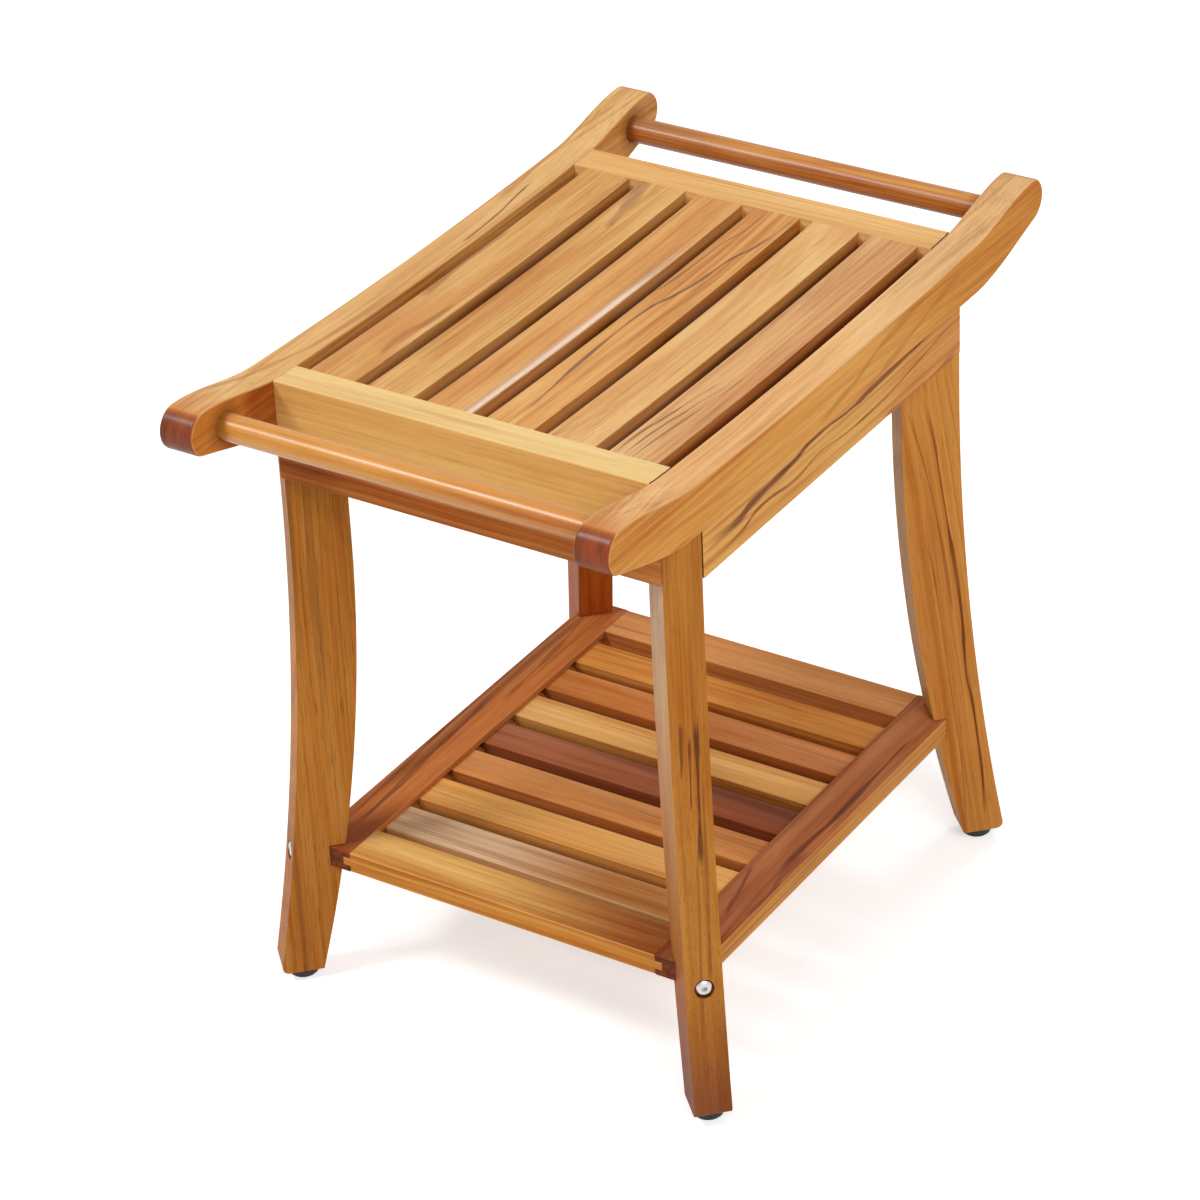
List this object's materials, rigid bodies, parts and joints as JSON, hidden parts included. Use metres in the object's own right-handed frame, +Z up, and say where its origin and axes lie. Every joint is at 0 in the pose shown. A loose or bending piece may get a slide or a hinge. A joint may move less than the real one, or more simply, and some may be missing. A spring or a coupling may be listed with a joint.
{
  "type": "slatted shower stool",
  "caption": "Slatted teak stool with a dished seat, side rails swept up to rod handles, sabre legs set on the diagonals and a slatted lower shelf.",
  "frame": {"origin": "on the floor, under the centre of the seat", "axes": "+X runs along the stool towards one rod handle, +Y across it towards the back side rail, +Z up"},
  "size_m": [0.545, 0.3614, 0.476],
  "materials": {
    "side_rails": "oiled teak, golden orange, fine streaks",
    "cross_rails": "oiled teak, pale honey",
    "seat_slat_1": "oiled teak, pinkish brown",
    "seat_slat_2": "oiled teak, pale honey",
    "seat_slat_3": "oiled teak, tan with dark streaks",
    "seat_slat_4": "oiled teak, pinkish brown",
    "seat_slat_5": "oiled teak, pale honey",
    "seat_slat_6": "oiled teak, honey tan",
    "handles": "oiled teak, red brown, glossy",
    "batten": "oiled teak",
    "aprons": "oiled teak with near black streaks",
    "legs": "oiled teak, golden brown",
    "corner_blocks": "plain teak",
    "shelf_side_rails": "oiled teak, reddish dark brown",
    "shelf_end_rails": "oiled teak, honey turning brown",
    "shelf_slat_1": "oiled teak, pale",
    "shelf_slat_2": "oiled teak, honey",
    "shelf_slat_3": "oiled teak, mid brown",
    "shelf_slat_4": "oiled teak, dark brown",
    "shelf_slat_5": "oiled teak, pale yellow",
    "shelf_slat_6": "oiled teak, orange brown",
    "shelf_slat_7": "oiled teak, brown honey",
    "bolts": "stainless, satin",
    "hidden_hardware": "stainless, plain",
    "foot_pads": "satin black"
  },
  "bodies": {
    "root": {"side_rail_front": "side_rails", "side_rail_back": "side_rails", "cross_rail_left": "cross_rails", "cross_rail_right": "cross_rails", "seat_slat_1": "seat_slat_1", "seat_slat_2": "seat_slat_2", "seat_slat_3": "seat_slat_3", "seat_slat_4": "seat_slat_4", "seat_slat_5": "seat_slat_5", "seat_slat_6": "seat_slat_6", "handle_left": "handles", "handle_right": "handles", "seat_batten": "batten", "side_apron_front": "aprons", "side_apron_back": "aprons", "end_apron_left": "aprons", "end_apron_right": "aprons", "leg_front_left": "legs", "leg_front_right": "legs", "leg_back_left": "legs", "leg_back_right": "legs", "corner_block_front_left": "corner_blocks", "corner_block_front_right": "corner_blocks", "corner_block_back_left": "corner_blocks", "corner_block_back_right": "corner_blocks", "shelf_rail_front": "shelf_side_rails", "shelf_rail_back": "shelf_side_rails", "shelf_end_left": "shelf_end_rails", "shelf_end_right": "shelf_end_rails", "shelf_slat_1": "shelf_slat_1", "shelf_slat_2": "shelf_slat_2", "shelf_slat_3": "shelf_slat_3", "shelf_slat_4": "shelf_slat_4", "shelf_slat_5": "shelf_slat_5", "shelf_slat_6": "shelf_slat_6", "shelf_slat_7": "shelf_slat_7", "shelf_bolts": "bolts", "barrel_nuts": "hidden_hardware", "hanger_bolts": "hidden_hardware", "hanger_washers": "hidden_hardware", "hanger_nuts": "hidden_hardware", "batten_screws": "hidden_hardware", "foot_pads": "foot_pads", "pad_screws": "hidden_hardware"}
  },
  "joints": []
}
